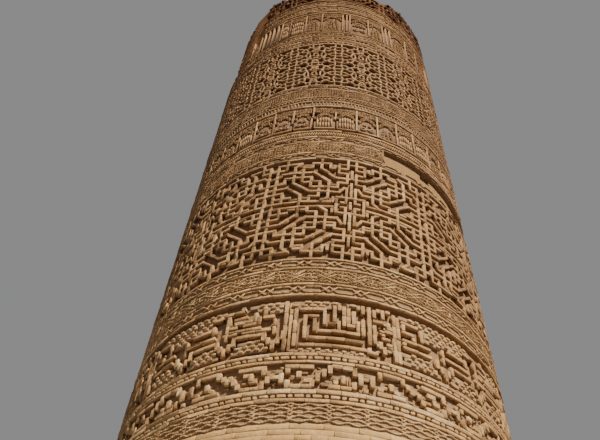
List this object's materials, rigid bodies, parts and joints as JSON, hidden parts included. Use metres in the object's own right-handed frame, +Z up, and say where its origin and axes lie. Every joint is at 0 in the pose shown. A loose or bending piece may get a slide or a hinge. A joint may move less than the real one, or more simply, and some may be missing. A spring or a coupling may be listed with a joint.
{
  "type": "brick minaret shaft",
  "caption": "Tall round brick minaret shaft, hollow and gently tapering, with bands of raised brick fret, lattice and scroll ornament, broken off at the top.",
  "frame": {"origin": "on the shaft's axis at ground level, the centre of the bounding box's bottom face", "axes": "+Z up along the shaft; the side that the picture shows faces -Y; +X is the viewer's right from there"},
  "size_m": [4.078, 4.078, 14],
  "materials": {
    "foot_wall_front": "plain coursed fired brick, pale and sun-bleached",
    "foot_wall_right": "plain coursed fired brick, pale and sun-bleached",
    "foot_wall_left": "plain coursed fired brick, pale and sun-bleached",
    "door_jamb_right": "plain coursed fired brick, pale and sun-bleached",
    "door_jamb_left": "plain coursed fired brick, pale and sun-bleached",
    "door_head": "plain coursed fired brick, pale and sun-bleached",
    "plain_shaft_front": "plain coursed fired brick, pale and sun-bleached",
    "plain_shaft_right": "plain coursed fired brick, pale and sun-bleached",
    "plain_shaft_back": "plain coursed fired brick, pale and sun-bleached",
    "plain_shaft_left": "plain coursed fired brick, pale and sun-bleached",
    "core_low_front": "rough brick and gypsum mortar",
    "core_low_right": "rough brick and gypsum mortar",
    "core_low_back": "rough brick and gypsum mortar",
    "core_low_left": "rough brick and gypsum mortar",
    "core_mid_front": "rough brick and gypsum mortar",
    "core_mid_right": "rough brick and gypsum mortar",
    "core_mid_back": "rough brick and gypsum mortar",
    "core_mid_left": "rough brick and gypsum mortar",
    "core_top_front": "rough brick and gypsum mortar",
    "core_top_right": "rough brick and gypsum mortar",
    "core_top_back": "rough brick and gypsum mortar",
    "core_top_left": "rough brick and gypsum mortar",
    "strap_band_low": "carved fired brick, matt and weathered",
    "bead_moulding_low": "raised cut fired brick, matt and weathered",
    "step_band": "raised cut fired brick, matt and weathered",
    "bead_moulding_high": "raised cut fired brick, matt and weathered",
    "key_fret_band": "raised cut fired brick, matt and weathered",
    "shadow_course": "raised cut fired brick, matt and weathered",
    "strap_strips": "carved fired brick, matt and weathered",
    "great_fret_band": "raised cut fired brick, matt and weathered",
    "fine_strips_low": "carved fired brick, matt and weathered",
    "scroll_band_low": "carved fired brick, matt and weathered",
    "fine_strips_mid": "carved fired brick, matt and weathered",
    "lattice_band": "raised cut fired brick, matt and weathered",
    "fine_strips_high": "carved fired brick, matt and weathered",
    "scroll_band_high": "carved fired brick, matt and weathered",
    "fine_strips_top": "carved fired brick, matt and weathered",
    "broken_fret": "raised cut fired brick, matt and weathered"
  },
  "bodies": {
    "root": {"foot_wall_front": "foot_wall_front", "foot_wall_right": "foot_wall_right", "foot_wall_left": "foot_wall_left", "door_jamb_right": "door_jamb_right", "door_jamb_left": "door_jamb_left", "door_head": "door_head", "plain_shaft_front": "plain_shaft_front", "plain_shaft_right": "plain_shaft_right", "plain_shaft_back": "plain_shaft_back", "plain_shaft_left": "plain_shaft_left", "core_low_front": "core_low_front", "core_low_right": "core_low_right", "core_low_back": "core_low_back", "core_low_left": "core_low_left", "core_mid_front": "core_mid_front", "core_mid_right": "core_mid_right", "core_mid_back": "core_mid_back", "core_mid_left": "core_mid_left", "core_top_front": "core_top_front", "core_top_right": "core_top_right", "core_top_back": "core_top_back", "core_top_left": "core_top_left", "strap_band_low": "strap_band_low", "bead_moulding_low": "bead_moulding_low", "step_band": "step_band", "bead_moulding_high": "bead_moulding_high", "key_fret_band": "key_fret_band", "shadow_course": "shadow_course", "strap_strips": "strap_strips", "great_fret_band": "great_fret_band", "fine_strips_low": "fine_strips_low", "scroll_band_low": "scroll_band_low", "fine_strips_mid": "fine_strips_mid", "lattice_band": "lattice_band", "fine_strips_high": "fine_strips_high", "scroll_band_high": "scroll_band_high", "fine_strips_top": "fine_strips_top", "broken_fret": "broken_fret"}
  },
  "joints": []
}
